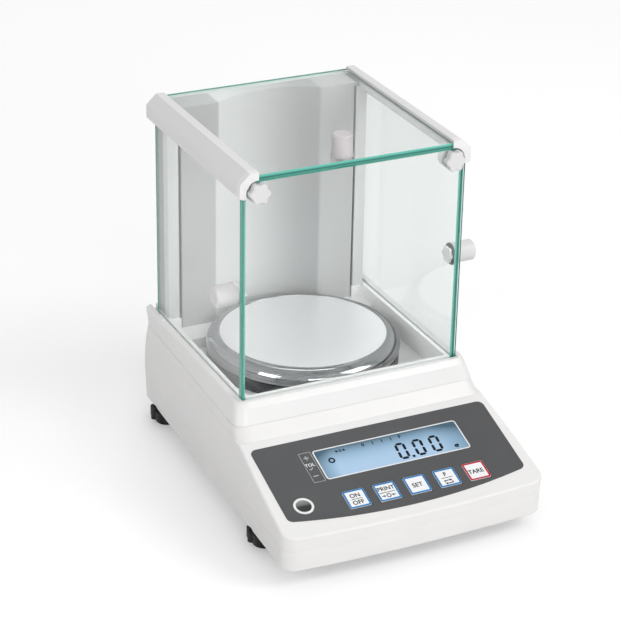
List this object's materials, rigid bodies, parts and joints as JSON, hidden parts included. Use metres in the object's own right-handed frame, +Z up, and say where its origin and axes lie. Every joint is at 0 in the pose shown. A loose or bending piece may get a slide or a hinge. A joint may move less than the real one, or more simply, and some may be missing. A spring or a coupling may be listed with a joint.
{
  "type": "precision balance",
  "caption": "Laboratory balance with a sloping keypad and display, a round pan and a glass draught shield whose side and top panes slide open.",
  "frame": {"origin": "on the table, midway between the two sides and between the front and rear of the housing", "axes": "+Z up, +Y to the rear, so the keypad faces -Y"},
  "size_m": [0.1686, 0.237, 0.227],
  "materials": {
    "housing_plastic": "moulded warm white plastic with a satin surface",
    "cell_aluminium": "machined aluminium",
    "column_plastic": "grey moulded plastic",
    "display_window": "clear window",
    "shield_glass": "clear float glass with green edges",
    "black_plastic": "black moulded plastic",
    "pad_rubber": "soft black rubber",
    "screw_steel": "plain steel",
    "key_plastic": "white key caps with printed borders",
    "lcd_module": "pale blue liquid crystal display",
    "knob_plastic": "grey moulded plastic",
    "rail_aluminium": "satin anodised extrusion",
    "level_holder": "white ring",
    "vial_glass": "liquid-filled bubble vial",
    "circuit_board": "green coated circuit board",
    "rim_chrome": "polished steel",
    "panel_film": "dark grey keypad film with fine texture",
    "serial_port": "nickel-plated shell",
    "pan_steel": "fine satin stainless steel"
  },
  "bodies": {
    "housing": {"back_wall": "housing_plastic", "carrier_bridge": "cell_aluminium", "column_cover": "column_plastic", "column_top": "housing_plastic", "display_window": "display_window", "front_glass": "shield_glass", "housing_screws": "screw_steel", "lcd_module": "lcd_module", "left_post": "rail_aluminium", "left_rail": "rail_aluminium", "left_rail_cap": "housing_plastic", "level_holder": "level_holder", "level_vial": "vial_glass", "load_cell": "cell_aluminium", "load_cell_screws": "screw_steel", "load_cell_seat": "cell_aluminium", "lower_housing": "housing_plastic", "main_board": "circuit_board", "overload_stop": "screw_steel", "pan_carrier": "cell_aluminium", "pan_ring": "black_plastic", "panel_board": "circuit_board", "panel_overlay": "panel_film", "power_inlet": "black_plastic", "rear_bar": "housing_plastic", "right_post": "rail_aluminium", "right_rail": "rail_aluminium", "right_rail_cap": "housing_plastic", "serial_port": "serial_port", "shield_frame": "housing_plastic", "upper_housing": "housing_plastic"},
    "left_door": {"left_door_glass": "shield_glass", "left_door_knob": "knob_plastic", "left_knob_nut": "knob_plastic"},
    "right_door": {"right_door_glass": "shield_glass", "right_door_knob": "knob_plastic", "right_knob_nut": "knob_plastic"},
    "top_door": {"top_door_glass": "shield_glass", "top_door_knob": "knob_plastic", "top_knob_nut": "knob_plastic"},
    "pan": {"weighing_pan": "pan_steel", "pan_rim": "rim_chrome"},
    "on_off_key": {"key_on_off": "key_plastic"},
    "print_key": {"key_print": "key_plastic"},
    "set_key": {"key_set": "key_plastic"},
    "function_key": {"key_function": "key_plastic"},
    "tare_key": {"key_tare": "key_plastic"},
    "left_clamp": {"left_clamp_knob": "knob_plastic"},
    "right_clamp": {"right_clamp_knob": "knob_plastic"},
    "front_left_foot_set": {"front_left_foot": "black_plastic", "front_left_pad": "pad_rubber"},
    "front_right_foot_set": {"front_right_foot": "black_plastic", "front_right_pad": "pad_rubber"},
    "rear_left_foot_set": {"rear_left_foot": "black_plastic", "rear_left_pad": "pad_rubber"},
    "rear_right_foot_set": {"rear_right_foot": "black_plastic", "rear_right_pad": "pad_rubber"}
  },
  "joints": [
    {"name": "left_door_slide", "type": "slide", "parent": "housing", "child": "left_door", "axis": [0, 1, 0], "range_m": [0, 0.095]},
    {"name": "right_door_slide", "type": "slide", "parent": "housing", "child": "right_door", "axis": [0, 1, 0], "range_m": [0, 0.095]},
    {"name": "top_door_slide", "type": "slide", "parent": "housing", "child": "top_door", "axis": [0, 1, 0], "range_m": [0, 0.095]},
    {"name": "pan_lift", "type": "slide", "parent": "housing", "child": "pan", "axis": [0, 0, 1], "range_m": [0, 0.06]},
    {"name": "on_off_press", "type": "slide", "parent": "housing", "child": "on_off_key", "axis": [0, 0.3057, -0.9521], "range_m": [0, 0.0004], "stiffness_N_per_m": 800},
    {"name": "print_press", "type": "slide", "parent": "housing", "child": "print_key", "axis": [0, 0.3057, -0.9521], "range_m": [0, 0.0004], "stiffness_N_per_m": 800},
    {"name": "set_press", "type": "slide", "parent": "housing", "child": "set_key", "axis": [0, 0.3057, -0.9521], "range_m": [0, 0.0004], "stiffness_N_per_m": 800},
    {"name": "function_press", "type": "slide", "parent": "housing", "child": "function_key", "axis": [0, 0.3057, -0.9521], "range_m": [0, 0.0004], "stiffness_N_per_m": 800},
    {"name": "tare_press", "type": "slide", "parent": "housing", "child": "tare_key", "axis": [0, 0.3057, -0.9521], "range_m": [0, 0.0004], "stiffness_N_per_m": 800},
    {"name": "left_clamp_turn", "type": "hinge", "parent": "housing", "child": "left_clamp", "pos_m": [-0.0621, -0.03, 0.2038], "axis": [0, -1, 0], "range_deg": [0, 720]},
    {"name": "right_clamp_turn", "type": "hinge", "parent": "housing", "child": "right_clamp", "pos_m": [0.0621, -0.03, 0.2038], "axis": [0, -1, 0], "range_deg": [0, 720]},
    {"name": "front_left_foot_turn", "type": "hinge", "parent": "housing", "child": "front_left_foot_set", "pos_m": [-0.073, -0.0645, 0.006], "axis": [0, 0, 1], "range_deg": [-720, 1440]},
    {"name": "front_right_foot_turn", "type": "hinge", "parent": "housing", "child": "front_right_foot_set", "pos_m": [0.073, -0.0645, 0.006], "axis": [0, 0, 1], "range_deg": [-720, 1440]},
    {"name": "rear_left_foot_turn", "type": "hinge", "parent": "housing", "child": "rear_left_foot_set", "pos_m": [-0.069, 0.0955, 0.006], "axis": [0, 0, 1], "range_deg": [-720, 1440]},
    {"name": "rear_right_foot_turn", "type": "hinge", "parent": "housing", "child": "rear_right_foot_set", "pos_m": [0.069, 0.0955, 0.006], "axis": [0, 0, 1], "range_deg": [-720, 1440]}
  ]
}
